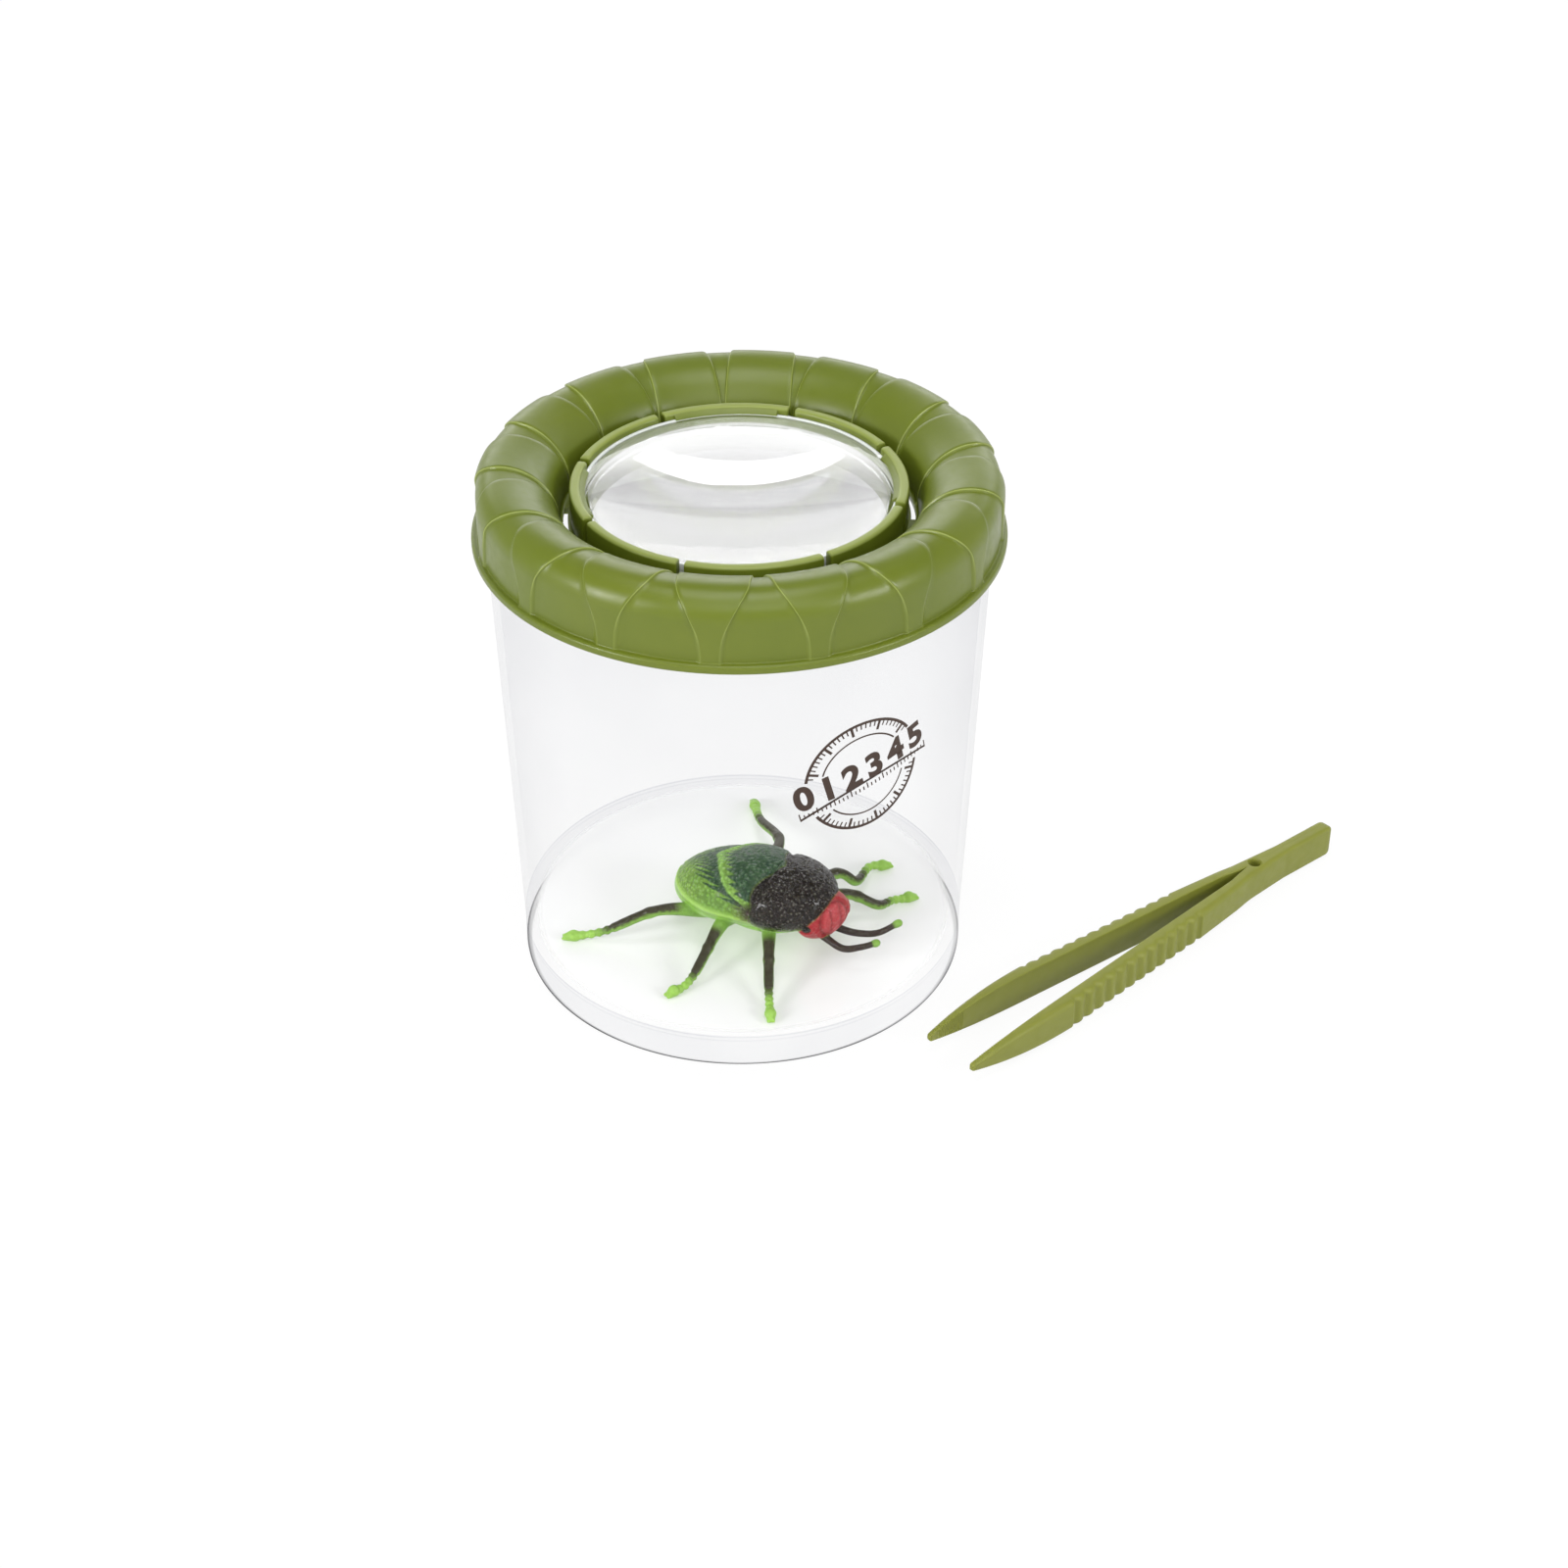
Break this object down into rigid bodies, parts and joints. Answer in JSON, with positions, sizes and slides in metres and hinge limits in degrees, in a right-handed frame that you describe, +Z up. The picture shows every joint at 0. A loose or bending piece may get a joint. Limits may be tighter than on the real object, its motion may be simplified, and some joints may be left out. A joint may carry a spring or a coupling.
{
  "type": "bug catcher jar",
  "caption": "Clear round jar with a petalled lid that holds a magnifying lens, a toy beetle inside and a pair of springy tweezers beside it.",
  "frame": {"origin": "middle of the jar's foot, on the surface that the jar and the tweezers stand on", "axes": "+Z up along the jar's axis, +Y away from the viewer, +X to the right, towards the tweezers"},
  "size_m": [0.2014, 0.116, 0.1249],
  "materials": {
    "clear_jar": "gloss",
    "green_lid": "satin",
    "clear_lens": "gloss",
    "beetle": "satin",
    "olive_tweezers": "satin"
  },
  "bodies": {
    "jar": {"jar": "clear_jar"},
    "lid": {"lid": "green_lid", "magnifier_lens": "clear_lens"},
    "beetle": {"toy_beetle": "beetle"},
    "tweezers": {"tweezers_tail": "olive_tweezers"},
    "far_arm": {"tweezers_far_arm": "olive_tweezers"},
    "near_arm": {"tweezers_near_arm": "olive_tweezers"}
  },
  "joints": [
    {"name": "lid_lift", "type": "slide", "parent": "jar", "child": "lid", "axis": [0, 0, 1], "range_m": [0, 0.05]},
    {"name": "beetle_lift", "type": "slide", "parent": "jar", "child": "beetle", "axis": [0, 0, 1], "range_m": [0, 0.06]},
    {"name": "tweezers_lift", "type": "slide", "parent": "jar", "child": "tweezers", "axis": [0, 0, 1], "range_m": [0, 0.06]},
    {"name": "far_arm_squeeze", "type": "hinge", "parent": "tweezers", "child": "far_arm", "pos_m": [0.1204, 0.0106, 0], "axis": [0, 0, 1], "range_deg": [0, 3.5], "stiffness_Nm_per_rad": 0.5},
    {"name": "near_arm_squeeze", "type": "hinge", "parent": "tweezers", "child": "near_arm", "pos_m": [0.1204, 0.0106, 0], "axis": [0, 0, 1], "range_deg": [-3.5, 0], "stiffness_Nm_per_rad": 0.5}
  ],
  "couplings": [
    {"joint": "near_arm_squeeze", "follows": "far_arm_squeeze", "ratio": -1}
  ]
}
